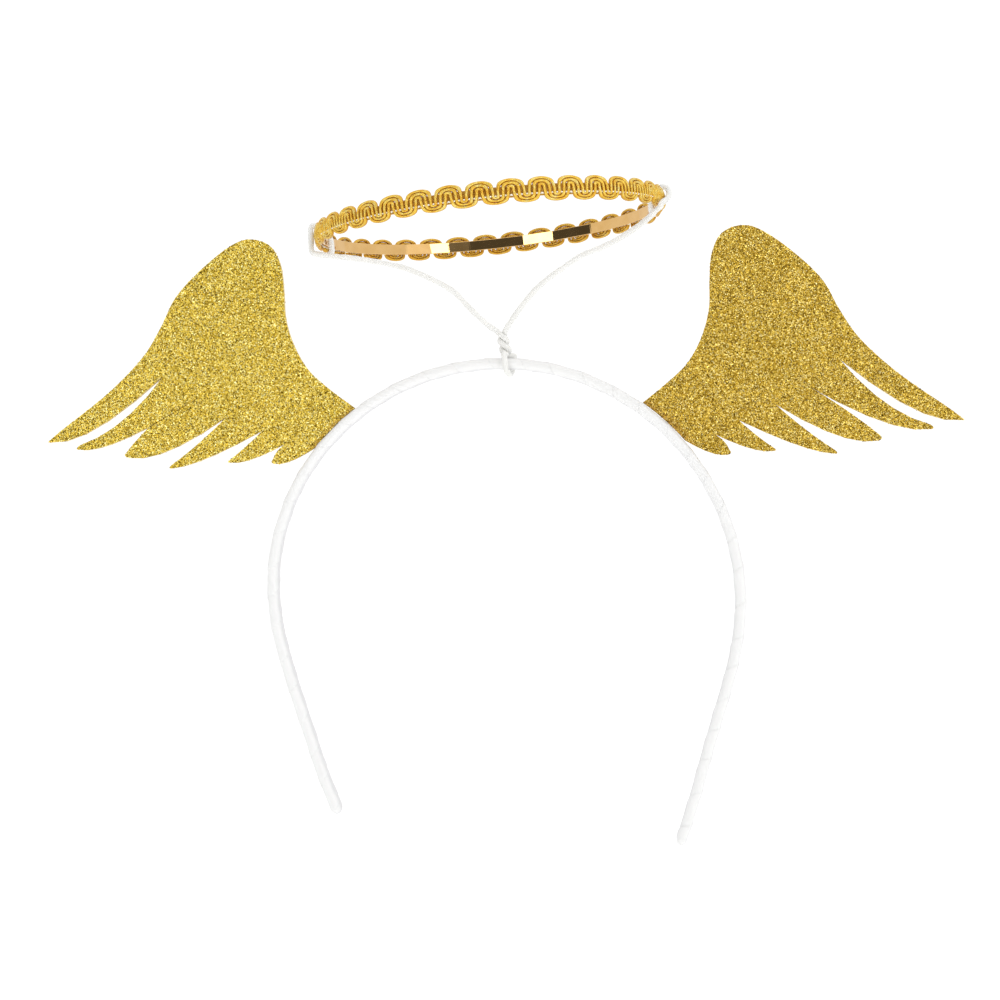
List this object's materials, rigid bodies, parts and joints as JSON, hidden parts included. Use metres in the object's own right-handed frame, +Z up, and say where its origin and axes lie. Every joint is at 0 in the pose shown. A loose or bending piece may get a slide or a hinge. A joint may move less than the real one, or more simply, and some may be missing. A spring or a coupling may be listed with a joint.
{
  "type": "halo headband",
  "caption": "White ribbon-wrapped headband with a scalloped gold halo on a twisted wire stem and gold glitter wings at its sides.",
  "frame": {"origin": "inner face of the band at the crown, midway through its depth, where it rests on the head", "axes": "+X to the wearer's left, +Y to the back of the head, +Z up; the wearer faces -Y"},
  "size_m": [0.257, 0.0988, 0.1845],
  "materials": {
    "ribbon": "white satin ribbon wound over the band",
    "covered_wire": "white cotton thread wound over wire",
    "mirror_strip": "gold mirror film on a thin plastic strip",
    "gimp_braid": "shiny gold metallic gimp braid",
    "glitter_foam": "fine gold glitter on foam sheet"
  },
  "bodies": {
    "root": {"headband": "ribbon", "halo_wire": "covered_wire", "halo_hoop": "mirror_strip", "halo_braid": "gimp_braid", "wing_left": "glitter_foam", "wing_right": "glitter_foam"}
  },
  "joints": []
}
